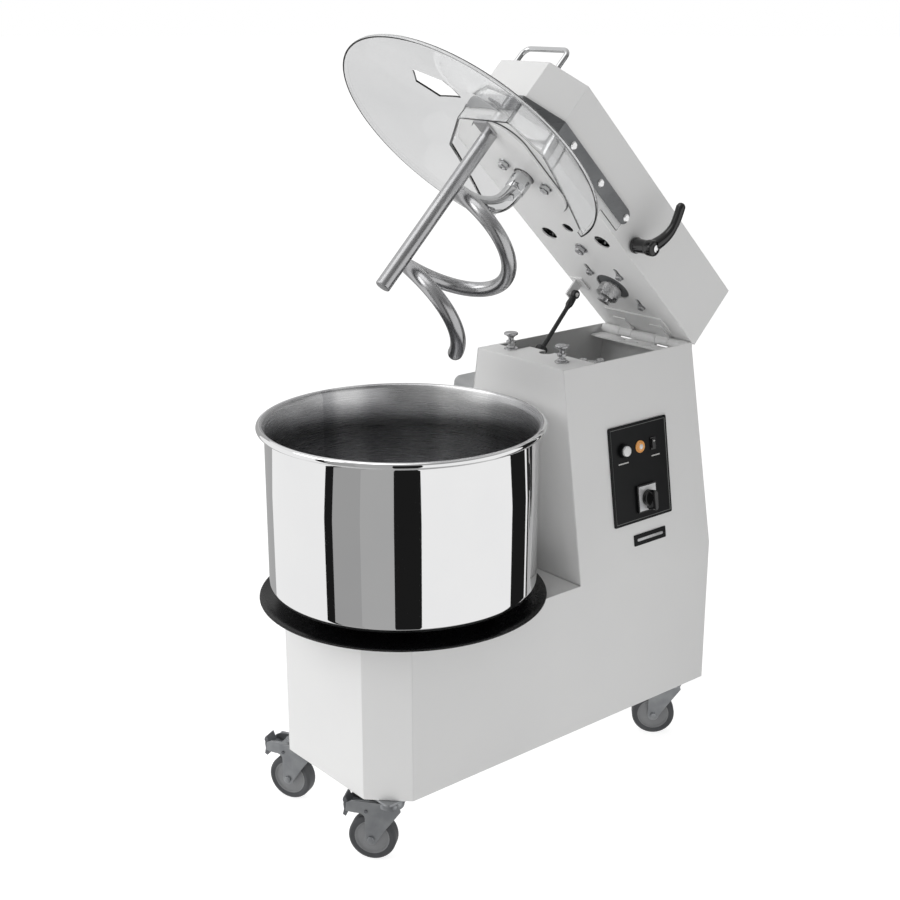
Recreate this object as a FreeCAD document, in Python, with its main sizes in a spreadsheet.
import FreeCAD, Part
import math
import os
import Sketcher
from FreeCAD import Placement, Rotation, Vector

# Spiral dough mixer with a lifting head and a removable bowl, in millimetres.
# Z is up from the floor, the bowl turns about the line X = 0, Y = 0, the bowl is at -Y,
# the head hinges at +Y, and the switches are on the +X side. The head is drawn closed
# and then swung open about its hinge pin, which is how the machine stands at rest.

doc = FreeCAD.newDocument("spiral_dough_mixer")
sheet = doc.addObject("Spreadsheet::Sheet", "Sizes")
nodes = []


class Size:
    """A length or angle that carries its number and its formula in the sheet."""

    def __init__(self, value, formula):
        self.value = value
        self.formula = formula

    def joined(self, other, sign, value):
        return Size(value, "(%s %s %s)" % (self.formula, sign, other.formula))

    def __add__(self, other):
        other = size(other)
        return self.joined(other, "+", self.value + other.value)

    def __sub__(self, other):
        other = size(other)
        return self.joined(other, "-", self.value - other.value)

    def __mul__(self, other):
        other = size(other)
        return self.joined(other, "*", self.value * other.value)

    def __truediv__(self, other):
        other = size(other)
        return self.joined(other, "/", self.value / other.value)

    def __radd__(self, other):
        return size(other) + self

    def __rsub__(self, other):
        return size(other) - self

    def __rmul__(self, other):
        return size(other) * self

    def __neg__(self):
        return 0 - self


def size(value):
    """A plain number as a Size, so that both can be used in one formula."""
    return value if isinstance(value, Size) else Size(float(value), "%.6f" % value)


def dim(alias, value):
    """One driving dimension: a cell of the sheet with a name."""
    row = len(sheet_rows) + 1
    sheet_rows.append(alias)
    sheet.set("A%d" % row, alias)
    sheet.set("B%d" % row, str(value))
    sheet.setAlias("B%d" % row, alias)
    return Size(float(value), "Sizes.%s" % alias)


sheet_rows = []

# ---- driving dimensions ---------------------------------------------------------------
# base and column
tyre_radius = dim("tyre_radius", 40)
castor_head = dim("castor_head", 38)
castor_height = 2 * tyre_radius + castor_head
base_height = dim("base_height", 274)
column_height = dim("column_height", 368)
base_half = dim("base_half_width", 163)
base_front = dim("base_front", 169)
base_back = dim("base_back", 589)
base_chamfer = dim("base_chamfer", 57)
column_half_top = dim("column_top_half_width", 108.5)
column_lean = dim("column_back_lean", 14)
sheet_t = dim("sheet_thickness", 2)
pan_t = dim("pan_thickness", 3)
# bowl and turntable
bowl_radius = dim("bowl_radius", 222)
bowl_depth = dim("bowl_depth", 282)
bowl_wall = dim("bowl_wall", 1.6)
bowl_corner = dim("bowl_corner", 15)
bead = dim("bead_radius", 5.5)
bead_out = dim("bead_offset", 7.5)
bowl_gap = dim("bowl_gap", 21)
tray_radius = bowl_radius + dim("tray_overhang", 17.5)
column_front_y = bowl_radius + bead_out + bead + bowl_gap
tray_gap = dim("tray_gap", 2)
tray_skin = dim("tray_skin", 3)
tray_rise = dim("tray_rise", 7)
pad_radius = dim("pad_radius", 150)
pad_height = dim("pad_height", 24)
turn_shaft = dim("turntable_shaft_radius", 22)
# hinge and head
pin_back = dim("hinge_pin_from_back", 17)
pin_drop = dim("hinge_pin_below_top", 8)
pin_radius = dim("hinge_pin_radius", 5)
knuckle = dim("knuckle_radius", 8.5)
open_angle = dim("open_angle", 45)
head_gap = dim("head_gap", 1.3)
head_half = dim("head_half_width", 109)
head_depth = dim("head_depth", 123.6)
head_nose = dim("head_nose", 575)
head_tail = dim("head_tail", 6)
head_chamfer = dim("head_chamfer", 52)
floor_t = dim("head_floor_thickness", 3)
# drive
spindle_y = dim("spindle_y", 128)
coupling_y = dim("coupling_y", 433)
spindle_radius = dim("spindle_radius", 17)
shaft_radius = dim("shaft_radius", 12)
wheel_big = dim("spindle_sprocket", 80)
wheel_small = dim("head_sprocket", 38)
base_wheel_big = dim("bowl_sprocket", 110)
base_wheel_small = dim("drive_sprocket", 35)
running = dim("running_fit", 0.05)
clear = dim("clearance", 0.4)
# tool
rod_radius = dim("hook_rod_radius", 12.5)
hook_radius = dim("hook_radius", 70)
hook_top = dim("hook_top_drop", 95)
hook_bottom = dim("hook_bottom_drop", 322)
hook_turns = dim("hook_turns", 1.5)
hook_start = dim("hook_start_angle", 228.8)
bar_radius = dim("bar_radius", 12.5)
bar_length = dim("bar_length", 320)
bar_y = dim("bar_y", 23)
# lid
lid_radius = bowl_radius + dim("lid_overhang", 16)
lid_drop = dim("lid_drop", 50.7)
lid_skin = dim("lid_skin", 3)
lid_cut = dim("lid_cut", 210)
collar_top = dim("collar_height", 49)
band_t = dim("band_thickness", 1.5)
band_low = dim("band_low", 21)
band_end = dim("band_end", 273)
# castors
castor_x = base_half - dim("castor_from_side", 43)
castor_y_front = base_front - dim("castor_from_front", 45)
castor_y_rear = base_back - dim("castor_from_back", 41)
castor_trail = dim("castor_trail", 30)
tyre_width = dim("tyre_width", 25)
# latch and strut
stud_x = dim("stud_x", 64)
stud_y = column_front_y + dim("stud_set_back", 39)
stud_rise = dim("stud_rise", 30)
latch_y = stud_y + dim("latch_behind_stud", 23)
latch_rise = dim("latch_rise", 20)
strut_x = dim("strut_x", 80)
strut_u = dim("strut_along_head", 131)
strut_v = dim("strut_below_head", 27)
strut_foot_y = column_front_y + dim("strut_foot_set_back", 44)
strut_foot_z = dim("strut_foot_below_top", 110)
tube_length = dim("strut_tube_length", 130)
strut_stroke = dim("strut_stroke", 83)
strut_rod_radius = dim("strut_rod_radius", 4)
kingpin = dim("kingpin_radius", 5)
brake_pin = dim("brake_pin_radius", 3)

doc.recompute()

deck_z = castor_height + base_height
top_z = deck_z + column_height
pin_y = base_back - pin_back
pin_z = top_z - pin_drop
under_z = top_z + head_gap
roof_z = under_z + head_depth
nose_y = pin_y - head_nose
inner_back = base_back - sheet_t
taper = (base_half - column_half_top) / column_height
pad_top = deck_z + tray_gap + pad_height
rim_z = pad_top + bowl_depth
tan_eighth = math.tan(math.radians(22.5))


# ---- helpers --------------------------------------------------------------------------
def bind(thing, prop, value):
    """Set one property from a Size and tie it to the sheet."""
    thing.setExpression(prop, size(value).formula)


def base_at(thing, x, y, z):
    """Place a primitive and tie its place to the sheet."""
    for axis, value in zip("xyz", (x, y, z)):
        bind(thing, "Placement.Base." + axis, value)


def box(x0, x1, y0, y1, z0, z1):
    """A block between three pairs of faces."""
    block = doc.addObject("Part::Box", "block")
    bind(block, "Length", size(x1) - x0)
    bind(block, "Width", size(y1) - y0)
    bind(block, "Height", size(z1) - z0)
    base_at(block, x0, y0, z0)
    return block


TURNS = {"z": Rotation(), "x": Rotation(Vector(0, 1, 0), 90), "y": Rotation(Vector(1, 0, 0), -90)}


def rod(radius, x, y, z, length, axis="z"):
    """A round bar from a point, along one axis."""
    bar = doc.addObject("Part::Cylinder", "rod")
    bar.Placement = Placement(Vector(0, 0, 0), TURNS[axis])
    bind(bar, "Radius", radius)
    bind(bar, "Height", length)
    base_at(bar, x, y, z)
    return bar


def ring(middle, radius, x, y, z):
    """A torus lying flat."""
    piece = doc.addObject("Part::Torus", "ring")
    bind(piece, "Radius1", middle)
    bind(piece, "Radius2", radius)
    base_at(piece, x, y, z)
    return piece


def fuse(*things):
    """Several solids as one object."""
    joined = doc.addObject("Part::MultiFuse", "fuse")
    joined.Shapes = list(things)
    joined.Refine = True
    return joined


def cut(thing, *tools):
    """A solid with others taken away."""
    for tool in tools:
        result = doc.addObject("Part::Cut", "cut")
        result.Base = thing
        result.Tool = tool
        thing = result
    return thing


def common(first, second):
    """What two solids share."""
    shared = doc.addObject("Part::Common", "common")
    shared.Base = first
    shared.Tool = second
    return shared


def rounded(thing, radius, pick):
    """Round the edges that pick accepts."""
    doc.recompute()
    edges = [(i + 1, size(radius).value, size(radius).value)
             for i, edge in enumerate(thing.Shape.Edges) if pick(edge)]
    smooth = doc.addObject("Part::Fillet", "round")
    smooth.Base = thing
    smooth.Edges = edges
    return smooth


def along(axis):
    """An edge test: straight and parallel to an axis."""
    way = dict(x=Vector(1, 0, 0), y=Vector(0, 1, 0), z=Vector(0, 0, 1))[axis]

    def test(edge):
        if not isinstance(edge.Curve, Part.Line):
            return False
        return abs(abs(edge.Curve.Direction.dot(way)) - 1) < 1e-6
    return test


def outline(sketch, corners):
    """A closed outline; a corner with four values starts an arc about its last two."""
    count = len(corners)
    spots = [(size(c[0]), size(c[1])) for c in corners]
    first_end = []
    for i, corner in enumerate(corners):
        (ax, ay), (bx, by) = spots[i], spots[(i + 1) % count]
        start, end = Vector(ax.value, ay.value, 0), Vector(bx.value, by.value, 0)
        if len(corner) == 2:
            sketch.addGeometry(Part.LineSegment(start, end))
            first_end.append((1, 2))
            continue
        centre = Vector(size(corner[2]).value, size(corner[3]).value, 0)
        a0 = math.atan2(start.y - centre.y, start.x - centre.x)
        a1 = math.atan2(end.y - centre.y, end.x - centre.x)
        turn = (a1 - a0) % (2 * math.pi)
        circle = Part.Circle(centre, Vector(0, 0, 1), (start - centre).Length)
        if turn <= math.pi + 1e-9:
            sketch.addGeometry(Part.ArcOfCircle(circle, a0, a0 + turn))
            first_end.append((1, 2))
        else:
            sketch.addGeometry(Part.ArcOfCircle(circle, a1, a1 + 2 * math.pi - turn))
            first_end.append((2, 1))
    for i, corner in enumerate(corners):
        begin, end = first_end[i]
        after = (i + 1) % count
        sketch.addConstraint(Sketcher.Constraint("Coincident", i, end, after, first_end[after][0]))
        for kind, value in zip(("DistanceX", "DistanceY"), spots[i]):
            tie = sketch.addConstraint(Sketcher.Constraint(kind, -1, 1, i, begin, value.value))
            bind(sketch, "Constraints[%d]" % tie, value)
        if len(corner) == 4:
            flat = abs(spots[i][0].value - spots[after][0].value) < 1e-9
            kind, value = ("DistanceX", size(corner[2])) if flat else ("DistanceY", size(corner[3]))
            if abs(spots[i][0].value - size(corner[2]).value) < 1e-9 and not flat:
                kind, value = "DistanceX", size(corner[2])
            tie = sketch.addConstraint(Sketcher.Constraint(kind, -1, 1, i, 3, value.value))
            bind(sketch, "Constraints[%d]" % tie, value)


def sketched(plane, offset, corners):
    """A body with one sketch on one of its own planes."""
    body = doc.addObject("PartDesign::Body", "body")
    face = [f for f in body.Origin.OriginFeatures if f.Role == plane][0]
    sketch = body.newObject("Sketcher::SketchObject", "sketch")
    sketch.AttachmentSupport = (face, [""])
    sketch.MapMode = "FlatFace"
    bind(sketch, "AttachmentOffset.Base.z", offset)
    outline(sketch, corners)
    return body, sketch


def padded(plane, offset, corners, length):
    """A plate: an outline pushed out along its plane's normal (XZ pushes towards -Y)."""
    body, sketch = sketched(plane, offset, corners)
    pad = body.newObject("PartDesign::Pad", "pad")
    pad.Profile = sketch
    bind(pad, "Length", length)
    return body


def turned(corners):
    """A turned piece: a half outline of (radius, height) spun about Z."""
    body, sketch = sketched("XZ_Plane", 0, corners)
    spin = body.newObject("PartDesign::Revolution", "spin")
    spin.Profile = sketch
    spin.ReferenceAxis = (sketch, ["V_Axis"])
    spin.Angle = 360
    return body


def made(shape):
    """A piece whose shape comes from Part's own functions."""
    piece = doc.addObject("Part::Feature", "piece")
    piece.Shape = shape
    return piece


def node(name, thing):
    """Name a finished sub-part; its file takes this name."""
    thing.Label = name
    nodes.append(thing)
    return thing


def mirrored_outline(corners):
    """The outline with X turned round, kept in the same sense."""
    return [(-size(x), y) for x, y in reversed(corners)]


def group(things):
    """Several separate solids that share one name."""
    together = doc.addObject("Part::Compound", "group")
    together.Links = things
    return together


def moved(thing, placement):
    """Move a finished piece; a primitive whose place is tied to the sheet is wrapped first."""
    if thing.TypeId in ("Part::Box", "Part::Cylinder"):
        thing = group([thing])
    thing.Placement = placement.multiply(thing.Placement)
    return thing


def swung(thing):
    """Swing a piece of the head open about the hinge pin."""
    pivot = Vector(0, pin_y.value, pin_z.value)
    return moved(thing, Placement(Vector(), Rotation(Vector(1, 0, 0), -open_angle.value), pivot))


def stadium_ring(y0, r0, y1, r1, z, height, thick):
    """A closed chain round two sprockets on the X = 0 plane, with its rollers left plain."""
    def loop(a, b):
        lean = math.asin((a - b) / (y1 - y0))
        c, s = math.cos(lean), math.sin(lean)
        right0, right1 = Vector(a * c, y0 + a * s, z), Vector(b * c, y1 + b * s, z)
        left0, left1 = Vector(-a * c, y0 + a * s, z), Vector(-b * c, y1 + b * s, z)
        edges = [Part.LineSegment(right0, right1).toShape(),
                 Part.Arc(right1, Vector(0, y1 + b, z), left1).toShape(),
                 Part.LineSegment(left1, left0).toShape(),
                 Part.Arc(left0, Vector(0, y0 - a, z), right0).toShape()]
        return Part.Face(Part.Wire(edges))
    band = loop(r0 + thick, r1 + thick).cut(loop(r0, r1))
    return band.extrude(Vector(0, 0, height))


def sprocket(radius, teeth, x, y, z, height):
    """A chain wheel: a disc with a round gap for each roller."""
    disc = Part.makeCylinder(radius, height, Vector(x, y, z))
    gap = math.pi * radius / teeth * 0.5
    rollers = []
    for i in range(teeth):
        turn = 2 * math.pi * i / teeth
        centre = Vector(x + radius * math.cos(turn), y + radius * math.sin(turn), z)
        rollers.append(Part.makeCylinder(gap, height, centre))
    return disc.cut(rollers)


# ---- base and column: folded sheet, welded ---------------------------------------------
def base_outline(inset):
    """The base seen from above, with its two front corners cut off at 45 degrees."""
    shift = inset * tan_eighth
    side = base_half - inset
    front = base_front - inset
    corner_x = base_half - base_chamfer - shift
    corner_y = base_front - base_chamfer - shift
    back = base_back - inset
    right = [(side, back), (side, -corner_y), (corner_x, -front)]
    left = [(-side, back), (-side, -corner_y), (-corner_x, -front)]
    return [right[0], left[0], left[1], left[2], right[2], right[1]]


def side_panel(hand):
    """One side: base side and column side in one sheet, bent at the deck."""
    low, bend, high = castor_height, deck_z, top_z
    corners = [(base_half - sheet_t, low), (base_half, low), (base_half, bend),
               (column_half_top, high), (column_half_top - sheet_t, high),
               (base_half - sheet_t, bend)]
    if hand < 0:
        corners = mirrored_outline(corners)
    strip = padded("XZ_Plane", -base_back, corners, base_back + base_front - base_chamfer)
    ahead = base_front + 1
    front_cut = box(-base_half - 1, base_half + 1, -ahead, column_front_y, bend, high + 1)
    lean = padded("YZ_Plane", -base_half - 1,
                  [(base_back, bend), (base_back + 2, bend), (base_back + 2, high + 2),
                   (base_back - column_lean, high + 2), (base_back - column_lean, high)],
                  2 * base_half + 2)
    return cut(strip, front_cut, lean)


right_panel = side_panel(1)
node("side_panel_right", right_panel)
node("side_panel_left", side_panel(-1))

wrap = base_outline(0)
wrap_in = base_outline(sheet_t)
front_corners = [wrap[2], wrap[3], wrap[4], wrap[5], wrap_in[5], wrap_in[4], wrap_in[3], wrap_in[2]]
inner_x = base_half - sheet_t * (1 + tan_eighth)
front_corners[4] = (inner_x, base_chamfer - base_front)
front_corners[7] = (-inner_x, base_chamfer - base_front)
node("front_panel", padded("XY_Plane", castor_height, front_corners, base_height))

deck_inset = base_outline(sheet_t)
deck_corners = [(base_half - sheet_t, column_front_y), (-(base_half - sheet_t), column_front_y)]
deck_corners += deck_inset[2:]
deck = padded("XY_Plane", deck_z - sheet_t, deck_corners, sheet_t)
hub_hole = rod(turn_shaft + 8, 0, 0, deck_z - sheet_t - 1, sheet_t + 2)
node("deck_plate", cut(deck, hub_hole))

half_low = base_half - sheet_t
half_high = column_half_top - sheet_t
column_front = padded("XZ_Plane", -column_front_y - sheet_t,
                      [(-half_low, deck_z), (half_low, deck_z), (half_high, top_z),
                       (-half_high, top_z)], sheet_t)
node("column_front", column_front)

cover_top = top_z - 20
cover_lean = column_lean * (cover_top - deck_z) / column_height
cover = padded("YZ_Plane", -half_low,
               [(inner_back, castor_height + pan_t), (base_back, castor_height + pan_t),
                (base_back, deck_z), (base_back - cover_lean, cover_top),
                (inner_back - cover_lean, cover_top), (inner_back, deck_z)], 2 * half_low)
wedges = []
for hand in (1, -1):
    wedge = [(half_low, deck_z), (half_low + 3, deck_z), (half_low + 3, top_z), (half_high, top_z)]
    if hand < 0:
        wedge = mirrored_outline(wedge)
    wedges.append(padded("XZ_Plane", -base_back - 1, wedge, 2 * column_lean))
louvre_count, louvre_step, louvre_gap, louvre_half = 6, 16, 5, 60
louvre_low = castor_height + 60
louvres = []
for i in range(louvre_count):
    low = louvre_low + louvre_step * i
    louvres.append(box(-louvre_half, louvre_half, inner_back - 30, base_back + 5, low, low + louvre_gap))
gland_z = castor_height + 190
gland_radius = dim("gland_radius", 10)
gland_bore = dim("gland_bore", 5)
gland_x = 90
gland_hole = rod(gland_radius, gland_x, inner_back - 5, gland_z, 20, "y")
node("rear_cover", cut(cover, *wedges, fuse(*louvres), gland_hole))

gland_nut = 14
gland_inside, gland_length = 12, 34
gland = fuse(rod(gland_radius, gland_x, inner_back - gland_inside, gland_z, gland_length, "y"),
             rod(gland_nut, gland_x, base_back, gland_z, 8, "y"))
node("cable_gland", cut(gland, rod(gland_bore, gland_x, inner_back - gland_inside - 1, gland_z,
                                   gland_length + 2, "y")))

pan = padded("XY_Plane", castor_height, base_outline(sheet_t), pan_t)
node("base_pan", pan)

rail_w, rail_h = 24, 40
case_top = deck_z + 170
case_low = case_top - 90
shelf_t = 6
rails = []
rail_x, post_x = base_half - 21, base_half - 27
for sign in (-1, 1):
    side_x = sign * rail_x
    rails.append(box(side_x - rail_w / 2, side_x + rail_w / 2, -70, inner_back - 10,
                     castor_height + pan_t, castor_height + pan_t + rail_h))
    for y in (column_front_y + 30, inner_back - 10 - rail_w):
        rails.append(box(sign * post_x - rail_w / 4, sign * post_x + rail_w / 4, y, y + rail_w,
                         castor_height + pan_t + rail_h - 1, case_low))
cross_half, shelf_half = rail_x - rail_w / 2, post_x + 3
cross = box(-cross_half, cross_half, inner_back - 50, inner_back - 10,
            castor_height + pan_t, castor_height + pan_t + rail_w)
shelf = box(-shelf_half, shelf_half, column_front_y + 30, inner_back - 10, case_low - shelf_t, case_low)
motor_y = coupling_y + 82
frame_cut = [rod(64, 0, motor_y, case_low - shelf_t - 1, shelf_t + 2),
             rod(16, 0, coupling_y, case_low - shelf_t - 1, shelf_t + 2)]
node("base_frame", cut(fuse(cross, shelf, *rails), *frame_cut))

bridge_depth = dim("bridge_depth", 74)
bridge = box(-half_high, half_high, column_front_y + sheet_t,
             column_front_y + sheet_t + bridge_depth, top_z - sheet_t, top_z)
bridge_lip = box(-half_high, half_high, column_front_y + sheet_t + bridge_depth - sheet_t,
                 column_front_y + sheet_t + bridge_depth, top_z - 20, top_z - sheet_t)
notch = box(-strut_x - 22, -strut_x + 26, column_front_y + 46, column_front_y + 90,
            top_z - 21, top_z + 1)
lock_bolt_x, lock_bolt_y = -4, latch_y + 6
bolt_room = rod(13, lock_bolt_x, lock_bolt_y, top_z - 25, 30)
node("top_bridge", cut(fuse(bridge, bridge_lip), notch, bolt_room))

# each stud stands on the bridge, and its nut is under the thin plate
stud_neck, stud_head, stud_head_t, stud_foot, stud_nut, stud_nut_t = 4.5, 12.5, 5, 8, 8.5, 6
stud_parts = []
for sign in (-1, 1):
    x = sign * stud_x
    stud_parts.append(fuse(rod(stud_neck, x, stud_y, top_z, stud_rise - stud_head_t + 1),
                           rod(stud_head, x, stud_y, top_z + stud_rise - stud_head_t, stud_head_t),
                           rod(stud_foot, x, stud_y, top_z, 5)))
    stud_parts.append(fuse(rod(stud_neck, x, stud_y, top_z - 14, 14 - sheet_t),
                           rod(stud_nut, x, stud_y, top_z - sheet_t - stud_nut_t, stud_nut_t)))
node("latch_studs", group(stud_parts))

# ---- hinge ----------------------------------------------------------------------------
wall_gap = column_half_top - sheet_t - 1.2
node("hinge_pin", rod(pin_radius, -wall_gap, pin_y, pin_z, 2 * wall_gap, "x"))

body_spans = [(-wall_gap, -61), (-29, 29), (61, wall_gap)]
head_spans = [(-60, -30), (30, 60)]
leaf_parts = [rod(knuckle, a, pin_y, pin_z, size(b) - a, "x") for a, b in body_spans]
leaf_parts.append(box(-wall_gap, wall_gap, pin_y - 36, pin_y - knuckle - 1, pin_z - 11, pin_z - 8))
for a, b in body_spans:
    leaf_parts.append(box(a, b, pin_y - 14, pin_y, pin_z - 11, pin_z - 7.5))
leaf_holes = [rod(3, x, pin_y - 22, pin_z - 12, 6) for x in (-32, 0, 32)]
leaf_bore = rod(pin_radius + running, -120, pin_y, pin_z, 240, "x")
node("hinge_leaf", cut(fuse(*leaf_parts), leaf_bore, *leaf_holes))

head_leaf_parts = [rod(knuckle, a, pin_y, pin_z, b - a, "x") for a, b in head_spans]
for a, b in head_spans:
    head_leaf_parts.append(box(a, b, pin_y - 40, pin_y, pin_z + 4, under_z))
head_leaf_parts.append(box(-70, 70, pin_y - 62, pin_y - 20, under_z - 3, under_z))
node("head_leaf", swung(cut(fuse(*head_leaf_parts),
                            rod(pin_radius + running, -70, pin_y, pin_z, 140, "x"))))

# ---- turntable and bowl -----------------------------------------------------------------
dish_z = deck_z + tray_gap
dish = turned([(0, dish_z), (tray_radius - 18, dish_z), (tray_radius, dish_z + tray_rise),
               (tray_radius, dish_z + tray_rise + tray_skin), (tray_radius - 19, dish_z + tray_skin),
               (pad_radius, dish_z + tray_skin), (pad_radius, pad_top), (0, pad_top)])
node("turntable_dish", dish)

sprocket_z = castor_height + 24
shaft_low = sprocket_z - 8
hub_shape = Part.makeCylinder(turn_shaft.value, dish_z.value - shaft_low.value,
                              Vector(0, 0, shaft_low.value))
wheel_t = 8
hub_shape = hub_shape.fuse(sprocket(base_wheel_big.value, 44, 0, 0, sprocket_z.value, wheel_t))
node("turntable_shaft", made(hub_shape.removeSplitter()))

bearing_low = sprocket_z + 30
bearing = fuse(rod(turn_shaft + 16, 0, 0, bearing_low, deck_z - sheet_t - bearing_low),
               rod(turn_shaft + 50, 0, 0, deck_z - sheet_t - 10, 10))
bearing_bore = rod(turn_shaft + running, 0, 0, bearing_low - 1, base_height)
node("turntable_bearing", cut(bearing, bearing_bore))

wall_top = rim_z - 14
inner = bowl_radius - bowl_wall
bowl_body = turned([(0, pad_top), (bowl_radius - bowl_corner, pad_top,
                                   bowl_radius - bowl_corner, pad_top + bowl_corner),
                    (bowl_radius, pad_top + bowl_corner), (bowl_radius, wall_top),
                    (bowl_radius + bead_out, rim_z - bead),
                    (bowl_radius + bead_out - bowl_wall, rim_z - bead + 1),
                    (inner, wall_top), (inner, pad_top + bowl_corner,
                                        bowl_radius - bowl_corner, pad_top + bowl_corner),
                    (bowl_radius - bowl_corner, pad_top + bowl_wall), (0, pad_top + bowl_wall)])
bowl_bead = ring(bowl_radius + bead_out, bead, 0, 0, rim_z - bead)
node("bowl", fuse(bowl_body, bowl_bead))

# ---- drive in the column and the base ---------------------------------------------------
cup_top = under_z - 29
cup_low = cup_top - 26
drive = Part.makeCylinder(shaft_radius.value, cup_low.value - shaft_low.value,
                          Vector(0, coupling_y.value, shaft_low.value))
drive = drive.fuse(sprocket(base_wheel_small.value, 14, 0, coupling_y.value, sprocket_z.value, wheel_t))
node("drive_shaft", made(drive.removeSplitter()))


def dogs(radius, inner_radius, y, low, height, start):
    """Two driving dogs: opposite quarters of a ring."""
    quarter = Part.makeCylinder(radius, height, Vector(0, y, low), Vector(0, 0, 1), 70)
    quarter = quarter.cut(Part.makeCylinder(inner_radius, height, Vector(0, y, low)))
    first = quarter.copy()
    first.rotate(Vector(0, y, 0), Vector(0, 0, 1), start)
    second = quarter.copy()
    second.rotate(Vector(0, y, 0), Vector(0, 0, 1), start + 180)
    return [first, second]


dog_height = 7
cup = Part.makeCylinder(22, 26 - dog_height - 1.5, Vector(0, coupling_y.value, cup_low.value))
cup = cup.fuse(dogs(22, 10, coupling_y.value, cup_low.value + 26 - dog_height - 1.5, dog_height, 10))
node("lower_coupling", made(cup.removeSplitter()))

case = rounded(box(-72, 72, column_front_y + 90, inner_back - 16, case_low, case_top), 10, along("z"))
neck = rod(26, 0, coupling_y, case_top, 14)
node("gearbox_case", cut(fuse(case, neck), rod(shaft_radius + running, 0, coupling_y, case_low - 1, 120)))

motor = fuse(rod(62, 0, motor_y, case_low - 190, 170), rod(50, 0, motor_y, case_low - 20, 20),
             rod(56, 0, motor_y, case_low - 200, 10))
node("motor", motor)

node("base_chain", made(stadium_ring(0, base_wheel_big.value + clear.value, coupling_y.value,
                                     base_wheel_small.value + clear.value,
                                     sprocket_z.value + 1, wheel_t - 2, 5)))

# ---- control side -----------------------------------------------------------------------
lean_angle = math.degrees(math.atan(taper.value))


def on_side(thing, hand=1):
    """Lay a piece drawn with X outwards, Y along and Z up onto the sloping column side."""
    face = Placement(Vector(base_half.value, 0, deck_z.value), Rotation(Vector(0, 1, 0), -lean_angle))
    if hand < 0:
        face = Placement(Vector(-base_half.value, 0, deck_z.value), Rotation(Vector(0, 1, 0), lean_angle))
    return moved(thing, face)


plate_t = 3
panel_low, panel_high = dim("panel_low", 80), dim("panel_high", 256)
panel_front, panel_back = dim("panel_front", 346), dim("panel_back", 492)
plate = rounded(box(0, plate_t, panel_front, panel_back, panel_low, panel_high), 5, along("x"))

row_s = panel_high - 44
button_y = panel_front + 37
lamp_y = panel_front + 76
collar = cut(rod(12.5, plate_t, button_y, row_s, 7, "x"), rod(9.6, plate_t - 1, button_y, row_s, 9, "x"))
node("control_plate", on_side(fuse(plate, collar)))
node("start_button", on_side(rod(9.2, plate_t + 3, button_y, row_s, 8, "x")))
lamp = fuse(rod(11, plate_t, lamp_y, row_s, 3, "x"), rod(8.5, plate_t + 3, lamp_y, row_s, 7, "x"))
node("signal_lamp", on_side(lamp))
knob_y = panel_front + 80.5
knob_s = panel_low + 40
node("switch_base", on_side(rounded(box(plate_t, plate_t + 5, knob_y - 24, knob_y + 24,
                                        knob_s - 24.5, knob_s + 24.5), 3, along("x"))))
knob_disc = rod(15, plate_t + 5.4, knob_y, knob_s, 8, "x")
knob_grip = rounded(box(plate_t + 5.4, plate_t + 26, knob_y - 5.5, knob_y + 5.5,
                        knob_s - 21, knob_s + 15), 4, along("x"))
node("selector_knob", on_side(fuse(knob_disc, knob_grip)))

cowl_hull = box(-70, 0, column_front_y + 8, column_front_y + 150, 150, 296)
cowl_round = rounded(cowl_hull, 14, lambda edge: edge.BoundBox.XMin < -1)
node("side_cowl", on_side(cowl_round, -1))

# ---- head: cover, floor and what is fixed to them ---------------------------------------
def head_outline(inset, back_inset):
    """The head seen from above, closed: square at the hinge, chamfered at the nose."""
    shift = inset * tan_eighth
    side = head_half - inset
    tip = nose_y + inset
    corner_x = head_half - head_chamfer - shift
    corner_y = nose_y + head_chamfer + shift
    tail = pin_y + head_tail - back_inset
    return [(side, tail), (-side, tail), (-side, corner_y), (-corner_x, tip),
            (corner_x, tip), (side, corner_y)]


cover_out = padded("XY_Plane", under_z, head_outline(0, 0), head_depth)
cover_in = padded("XY_Plane", under_z - 1, head_outline(sheet_t, sheet_t), head_depth + 1 - sheet_t)
lever_hole = rod(7.5, head_half - 5, latch_y, under_z + latch_rise, 10, "x")
node("head_cover", swung(cut(cover_out, cover_in, lever_hole)))

floor = padded("XY_Plane", under_z, head_outline(sheet_t, sheet_t), floor_t)
slot_places = [(-30, coupling_y - 46), (42, coupling_y - 46), (-30, coupling_y + 23), (40, coupling_y + 41)]
slot_r, slot_half = 4.5, 9
stud_hole = stud_head + 3
floor_holes = [rod(stud_hole, stud_x, stud_y, under_z - 1, 6),
               rod(stud_hole, -stud_x, stud_y, under_z - 1, 6),
               rod(11, 0, stud_y - 26, under_z - 1, 6), rod(33, 0, coupling_y, under_z - 1, 6),
               rod(spindle_radius + 4, 0, spindle_y, under_z - 1, 6)]
for x, y in slot_places:
    slot_start, slot_end = y - slot_half, y + slot_half
    floor_holes.append(fuse(box(x - slot_r, x + slot_r, slot_start, slot_end, under_z - 1, under_z + 5),
                            rod(slot_r, x, slot_start, under_z - 1, 6),
                            rod(slot_r, x, slot_end, under_z - 1, 6)))
pierced = cut(floor, fuse(*floor_holes))

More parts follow.
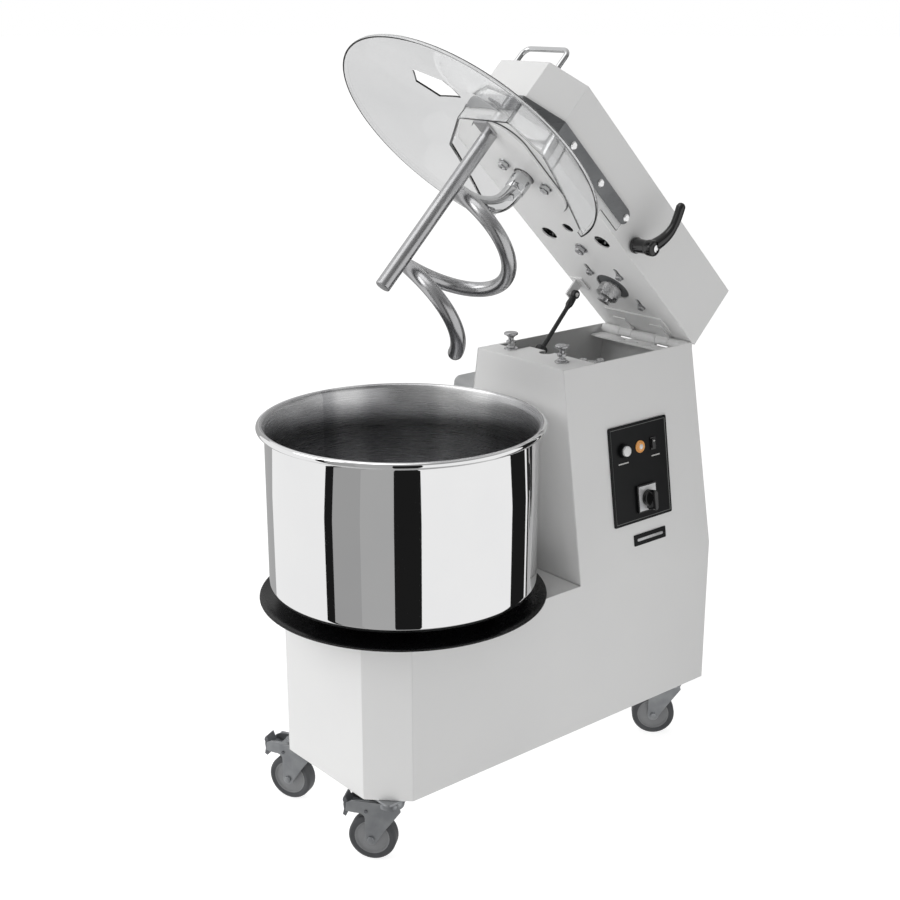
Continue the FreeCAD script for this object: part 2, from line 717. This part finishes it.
washer_r, washer_t, head_r, head_t, shank_r, bolt_in_slot = 8, 2, 6, 5, 3.6, 8
lock_washer_r, lock_head_r, lock_head_t = 10, 7.5, 7
bolt_heads = []
for x, y in slot_places:
    bolt_y = y + bolt_in_slot
    bolt_heads.append(fuse(rod(washer_r, x, bolt_y, under_z - washer_t, washer_t),
                           rod(head_r, x, bolt_y, under_z - washer_t - head_t, head_t),
                           rod(shank_r, x, bolt_y, under_z - washer_t, floor_t + washer_t)))
bolt_heads.append(fuse(rod(lock_washer_r, lock_bolt_x, lock_bolt_y, under_z - washer_t, washer_t),
                       rod(lock_head_r, lock_bolt_x, lock_bolt_y, under_z - washer_t - lock_head_t,
                           lock_head_t)))
node("mount_bolts", swung(group(bolt_heads)))

plate_end = dim("spindle_plate_half", 58)
plate_y0, plate_y1 = spindle_y - 72, spindle_y + 38
plate_low = under_z - 6
spindle_plate = padded("XY_Plane", plate_low,
                       [(plate_end, plate_y0), (plate_end, plate_y1, 0, plate_y1),
                        (-plate_end, plate_y1), (-plate_end, plate_y0, 0, plate_y0)], 6)
node("spindle_plate", swung(cut(spindle_plate, rod(spindle_radius + 2, 0, spindle_y, plate_low - 1, 8))))

floor_top = under_z + floor_t
house_height = 38
spindle_house = fuse(rod(spindle_radius + 34, 0, spindle_y, floor_top, 8),
                     rod(spindle_radius + 16, 0, spindle_y, floor_top, house_height))
spindle_bore = rod(spindle_radius + running, 0, spindle_y, floor_top - 1, house_height + 2)
node("spindle_housing", swung(cut(spindle_house, spindle_bore)))
coupling_house = fuse(box(-52, 52, coupling_y - 62, coupling_y + 58, floor_top, floor_top + 6),
                      rod(30, 0, coupling_y, floor_top, house_height))
bolt_clear = [rod(slot_r, x, y + bolt_in_slot, floor_top - 1, 8) for x, y in slot_places]
coupling_bore = rod(shaft_radius + running, 0, coupling_y, floor_top - 1, house_height + 2)
node("coupling_housing", swung(cut(coupling_house, coupling_bore, *bolt_clear)))

chain_z = floor_top + house_height + 6
node("head_chain", swung(made(stadium_ring(spindle_y.value, wheel_big.value + clear.value,
                                           coupling_y.value, wheel_small.value + clear.value,
                                           chain_z.value + 1, wheel_t - 2, 5))))

bar = rod(bar_radius, 0, bar_y, under_z - bar_length, bar_length - 6)
node("breaker_bar", swung(bar))

bracket = fuse(box(-strut_x - 22, -strut_x + 8, pin_y - strut_u - 16, pin_y - strut_u + 16,
                   under_z - 3, under_z),
               box(-strut_x - 14, -strut_x - 10, pin_y - strut_u - 10, pin_y - strut_u + 10,
                   under_z - strut_v - 8, under_z),
               rod(4, -strut_x - 14, pin_y - strut_u, under_z - strut_v, 14 + 5, "x"))
node("head_floor", swung(fuse(pierced, bracket)))

# lid: a clear shallow cone, open where the head comes through, with a collar that stands on it
# round the nose and a filling mouth in front
rim_low = under_z - lid_drop
lid_in = lid_radius - 10
lid_flat = dim("lid_flat_radius", 60)
dome = turned([(0, under_z - 1 - lid_skin), (lid_flat, under_z - 1 - lid_skin), (lid_in, rim_low + lid_skin),
               (lid_in, rim_low), (lid_radius, rim_low), (lid_radius, rim_low + lid_skin + 1),
               (lid_in + 3, rim_low + lid_skin + 2), (lid_flat + 1, under_z - 1), (0, under_z - 1)])
back_part = box(-260, 260, lid_cut, 400, rim_low - 5, under_z + 5)
mouth = padded("XY_Plane", rim_low - 5, head_outline(-clear, 0), lid_drop + 10)
mouth_x, mouth_y = -dim("mouth_off_centre", 36), -dim("mouth_forward", 98)
chute = padded("XY_Plane", rim_low - 5, [(mouth_x - 6, mouth_y - 39), (mouth_x - 31, mouth_y - 6),
                                         (mouth_x - 20, mouth_y + 39), (mouth_x + 25, mouth_y + 43),
                                         (mouth_x + 30, mouth_y - 5), (mouth_x - 1, mouth_y - 35)], 60)
collar_out = padded("XY_Plane", rim_low, head_outline(-clear - lid_skin, 0), collar_top + lid_drop)
collar_in = padded("XY_Plane", rim_low - 1, head_outline(-clear, -1), collar_top + lid_drop + 2)
collar_back = box(-200, 200, band_end - 8, pin_y + 20, rim_low - 1, under_z + 80)
collar_low = box(-200, 200, lid_cut, pin_y + 20, rim_low - 1, under_z + 8)
below_cone = turned([(0, rim_low - 1), (0, under_z - 1 - lid_skin), (lid_flat, under_z - 1 - lid_skin),
                     (lid_in, rim_low + lid_skin), (lid_in, rim_low - 1)])
collar = cut(collar_out, collar_in, collar_back, collar_low, below_cone)
node("lid", swung(fuse(cut(dome, back_part, mouth, chute), collar)))

band_gap = clear + lid_skin
band_out = padded("XY_Plane", under_z + band_low, head_outline(-band_gap - band_t, 0), collar_top - band_low)
band_in = padded("XY_Plane", under_z, head_outline(-band_gap, -1), head_depth)
band_half = (collar_top - band_low) / 2
band_shape = fuse(box(-200, 200, -60, band_end - band_half, under_z + band_low, under_z + collar_top),
                  rod(band_half, -200, band_end - band_half, under_z + band_low + band_half, 400, "x"))
node("lid_band", swung(common(cut(band_out, band_in), band_shape)))
screws = []
band_face = head_half + band_gap + band_t
screw_r, screw_t = 7, 3.5
for behind in (8, 96, 186):
    for sign in (-1, 1):
        low = band_face if sign > 0 else -band_face - screw_t
        screws.append(rod(screw_r, low, band_end - behind, under_z + band_low + band_half, screw_t, "x"))
node("band_screws", swung(group(screws)))

grip_rise = dim("handle_rise", 46)
grip_half = dim("handle_half_width", 52)
grip_r = 4.5
grip_y = pin_y - 552
bend_r = 14
path = [Vector(-grip_half.value, grip_y.value, roof_z.value),
        Vector(-grip_half.value, grip_y.value, roof_z.value + grip_rise.value - bend_r),
        Vector(-grip_half.value + bend_r * (1 - math.sqrt(0.5)), grip_y.value,
               roof_z.value + grip_rise.value - bend_r * (1 - math.sqrt(0.5))),
        Vector(-grip_half.value + bend_r, grip_y.value, roof_z.value + grip_rise.value)]
mirror_path = [Vector(-p.x, p.y, p.z) for p in reversed(path)]
grip_wire = Part.Wire([Part.LineSegment(path[0], path[1]).toShape(),
                       Part.Arc(path[1], path[2], path[3]).toShape(),
                       Part.LineSegment(path[3], mirror_path[0]).toShape(),
                       Part.Arc(mirror_path[0], mirror_path[1], mirror_path[2]).toShape(),
                       Part.LineSegment(mirror_path[2], mirror_path[3]).toShape()])
grip_round = Part.Wire(Part.Circle(path[0], Vector(0, 0, 1), grip_r).toShape())
grip_tube = grip_wire.makePipeShell([grip_round], True, False)
feet = [Part.makeCylinder(9, 3, Vector(s * grip_half.value, grip_y.value, roof_z.value)) for s in (-1, 1)]
node("lift_handle", swung(made(grip_tube.fuse(feet).removeSplitter())))

# ---- head drive and spiral ---------------------------------------------------------------
shaft_y = coupling_y.value
head_drive = Part.makeCylinder(shaft_radius.value, chain_z.value + 16 - under_z.value + 4,
                               Vector(0, shaft_y, under_z.value - 4))
jaw_low = under_z.value - 28
head_drive = head_drive.fuse(Part.makeCylinder(21, 24 - dog_height, Vector(0, shaft_y, jaw_low + dog_height)))
head_drive = head_drive.fuse(dogs(21, 10, shaft_y, jaw_low, dog_height, 100))
head_drive = head_drive.fuse(sprocket(wheel_small.value, 19, 0, shaft_y, chain_z.value, wheel_t))
node("head_shaft", swung(made(head_drive.removeSplitter())))

hub_low = under_z.value - 28
spindle_top = chain_z.value + 16
spindle = Part.makeCylinder(spindle_radius.value, spindle_top - hub_low, Vector(0, spindle_y.value, hub_low))
spindle = spindle.fuse(sprocket(wheel_big.value, 40, 0, spindle_y.value, chain_z.value, wheel_t))
node("spiral_shaft", swung(made(spindle.removeSplitter())))

turn0 = math.radians(hook_start.value)
outward = Vector(math.cos(turn0), math.sin(turn0), 0)
sideways = Vector(-math.sin(turn0), math.cos(turn0), 0)
axis_foot = Vector(0, spindle_y.value, 0)
pitch = (hook_bottom.value - hook_top.value) / hook_turns.value
descent = -pitch / (2 * math.pi)
hook_z = under_z.value - hook_top.value
helix = Part.makeHelix(pitch, hook_bottom.value - hook_top.value, hook_radius.value, 0, True)
helix.rotate(Vector(0, 0, 0), Vector(1, 0, 0), 180)
helix.rotate(Vector(0, 0, 0), Vector(0, 0, 1), hook_start.value)
helix.translate(axis_foot + Vector(0, 0, hook_z))
hook_start_point = axis_foot + outward * hook_radius.value + Vector(0, 0, hook_z)
hook_way = sideways * hook_radius.value + Vector(0, 0, descent)
hook_round = Part.Wire(Part.Circle(hook_start_point, hook_way, rod_radius.value).toShape())
hook_tube = Part.Wire(helix.Edges).makePipeShell([hook_round], True, True)
hook_end = max(helix.Vertexes, key=lambda v: -v.Point.z).Point
hook_ball = Part.makeSphere(rod_radius.value, hook_end)
node("spiral_hook", swung(made(hook_tube.fuse(hook_ball).removeSplitter())))

arm_points = [axis_foot + Vector(0, 0, hub_low + 6),
              axis_foot + outward * 34 + Vector(0, 0, hub_low + 2),
              axis_foot + outward * 60 + Vector(0, 0, hub_low - 22),
              hook_start_point - sideways * 26 + Vector(0, 0, 26),
              hook_start_point]
arm_curve = Part.BSplineCurve()
arm_curve.interpolate(arm_points, Tangents=[outward, outward, (outward - Vector(0, 0, 1.2)).normalize(),
                                            (sideways - Vector(0, 0, 1.6)).normalize(), hook_way.normalize()],
                      TangentFlags=[True, False, False, False, True])
arm_round = Part.Wire(Part.Circle(arm_points[0], outward, rod_radius.value + 1).toShape())
arm_tube = Part.Wire(arm_curve.toShape()).makePipeShell([arm_round], True, False)
node("spiral_arm", swung(made(arm_tube)))

# ---- latch: lever outside, shaft and claws inside -----------------------------------------
latch_z = under_z + latch_rise
claw_length = 16
latch_rod = rod(6.9, -head_half + 4, latch_y, latch_z, 2 * head_half + 4, "x")
claws = []
for sign in (-1, 1):
    claw = Part.makeBox(16, claw_length, 5, Vector(sign * stud_x.value - 8, -claw_length, -2.5))
    claw = claw.cut(Part.makeBox(10, 8, 6, Vector(sign * stud_x.value - 5, -claw_length - 0.1, -3)))
    claw.rotate(Vector(0, 0, 0), Vector(1, 0, 0), 50)
    claw.translate(Vector(0, latch_y.value, latch_z.value))
    claws.append(made(claw))
node("latch_shaft", swung(fuse(latch_rod, *claws)))
lever_x = head_half + 8
lever_hub = rod(14, lever_x, latch_y, latch_z, 26, "x")
arm = rounded(box(lever_x + 20, lever_x + 40, latch_y - 7, latch_y + 7, latch_z, latch_z + 96), 6, along("z"))
lever = fuse(lever_hub, rod(11, lever_x + 12, latch_y, latch_z, 24, "x"), arm)
node("clamp_lever", swung(cut(lever, rod(6.9, lever_x - 2, latch_y, latch_z, 6, "x"))))

# ---- gas strut ---------------------------------------------------------------------------
open_turn = math.radians(open_angle.value)
rel_y, rel_z = -strut_u.value, under_z.value - strut_v.value - pin_z.value
eye_y = pin_y.value + rel_y * math.cos(open_turn) + rel_z * math.sin(open_turn)
eye_z = pin_z.value - rel_y * math.sin(open_turn) + rel_z * math.cos(open_turn)
foot_y, foot_z = strut_foot_y.value, top_z.value - strut_foot_z.value
eye, foot = Vector(-strut_x.value, eye_y, eye_z), Vector(-strut_x.value, foot_y, foot_z)
way = (foot - eye).normalize()
length = (foot - eye).Length
eye_end = Part.makeCylinder(8, 9, eye - Vector(4.5, 0, 0), Vector(1, 0, 0))
eye_end = eye_end.cut(Part.makeCylinder(4 + running.value, 12, eye - Vector(6, 0, 0), Vector(1, 0, 0)))
tube_end = 9
rod_reach = length - tube_end - strut_stroke.value - 6
neck_rod = Part.makeCylinder(strut_rod_radius.value, rod_reach - 7.2, eye + way * 7.2, way)
socket = Part.makeCylinder(6, 16, eye + way * 6.5, way)
rod_shape = eye_end.fuse([neck_rod, socket])
rod_shape = rod_shape.cut(Part.makeCylinder(4 + running.value, 12, eye - Vector(6, 0, 0), Vector(1, 0, 0)))
node("strut_rod", made(rod_shape.removeSplitter()))
tube = Part.makeCylinder(9, tube_length.value, foot - way * tube_length.value, way)
tube = tube.cut(Part.makeCylinder(strut_rod_radius.value + 0.3, tube_length.value + 1 - tube_end,
                                  foot - way * (tube_length.value + 1), way))
tube_eye = Part.makeCylinder(7, 8, foot + way * 6 - Vector(4, 0, 0), Vector(1, 0, 0))
node("strut_tube", made(tube.fuse(tube_eye).removeSplitter()))

# ---- castors -----------------------------------------------------------------------------
plate_z = castor_height - 4
race, crown_depth, pin_head = 4, 14, 3
leg_gap = tyre_width / 2 + 2
crown_top = plate_z - race - 0.5
places = {"front_right": (1, -castor_y_front, 218), "front_left": (-1, -castor_y_front, 206),
          "rear_right": (1, castor_y_rear, 226), "rear_left": (-1, castor_y_rear, 238)}
plates = []
for hand, y, heading in places.values():
    x = hand * castor_x
    mount = rounded(box(x - 28, x + 28, y - 28, y + 28, plate_z, castor_height), 8, along("z"))
    pin_low = crown_top - crown_depth - pin_head - clear
    plates.append(fuse(mount, rod(20, x, y, plate_z - race, race),
                       rod(kingpin, x, y, pin_low, plate_z - pin_low),
                       rod(kingpin + 3, x, y, pin_low, pin_head)))
node("castor_plates", group(plates))


def at_castor(thing, name):
    """Put a castor piece, drawn with its swivel at the origin and its trail along X, in place."""
    hand, y, heading = places[name]
    spot = Placement(Vector(hand * castor_x.value, y.value, 0), Rotation(Vector(0, 0, 1), heading))
    return moved(thing, spot)


brake_x, brake_z = castor_trail + 8, crown_top - 19
for name in places:
    legs = []
    for side in (-1, 1):
        leg = padded("XZ_Plane", leg_gap if side < 0 else -leg_gap - 3,
                     [(castor_trail - 9, tyre_radius - 9), (castor_trail + 9, tyre_radius - 9),
                      (castor_trail + 12, tyre_radius + 8), (castor_trail + 16, crown_top - 16),
                      (castor_trail + 12, crown_top), (-18, crown_top), (-20, crown_top - 14)], 3)
        legs.append(leg)
    crown = fuse(rod(22, 0, 0, crown_top - crown_depth, crown_depth),
                 box(-16, castor_trail + 2, -leg_gap, leg_gap, crown_top - crown_depth, crown_top))
    axle = rod(4, castor_trail, -leg_gap - 6, tyre_radius, 2 * leg_gap + 12, "y")
    bores = [rod(kingpin + running, 0, 0, crown_top - crown_depth - 1, crown_depth + 2)]
    if name.startswith("front"):
        bores.append(rod(brake_pin + running, brake_x, -leg_gap - 10, brake_z, 2 * leg_gap + 20, "y"))
    node("fork_" + name, at_castor(cut(fuse(crown, axle, *legs), *bores), name))
    tyre = rounded(rod(tyre_radius, castor_trail, -tyre_width / 2, tyre_radius, tyre_width, "y"), 5,
                   lambda edge: isinstance(edge.Curve, Part.Circle))
    axle_hole = rod(4 + running, castor_trail, -20, tyre_radius, 40, "y")
    node("wheel_" + name, at_castor(cut(tyre, axle_hole), name))
for name in ("front_right", "front_left"):
    pedal = padded("XZ_Plane", 0.8 - leg_gap,
                   [(castor_trail + 4, crown_top - 23), (castor_trail + 40, crown_top - 24),
                    (castor_trail + 44, crown_top - 30), (castor_trail + 49, crown_top - 14),
                    (castor_trail + 44, crown_top - 12), (castor_trail + 4, crown_top - 15.5)],
                   2 * leg_gap - 1.6)
    pivot = rod(brake_pin, brake_x, -leg_gap - 5, brake_z, 2 * leg_gap + 10, "y")
    node("brake_pedal_" + name, at_castor(fuse(pedal, pivot), name))

# ---- checks and files ----------------------------------------------------------------------
doc.recompute()
problems = []
for thing in doc.Objects:
    if "Invalid" in thing.State or "Error" in thing.State:
        problems.append("%s is %s" % (thing.Label, thing.State))
for thing in nodes:
    if thing.Shape.isNull() or not thing.Shape.isValid():
        problems.append("%s has no valid shape" % thing.Label)
    elif not thing.Shape.Solids:
        problems.append("%s has no solid" % thing.Label)
if problems:
    raise RuntimeError("; ".join(problems))
os.makedirs("parts", exist_ok=True)
for thing in nodes:
    thing.Shape.exportStep("parts/%s.step" % thing.Label)
print(len(nodes), "sub-parts written")
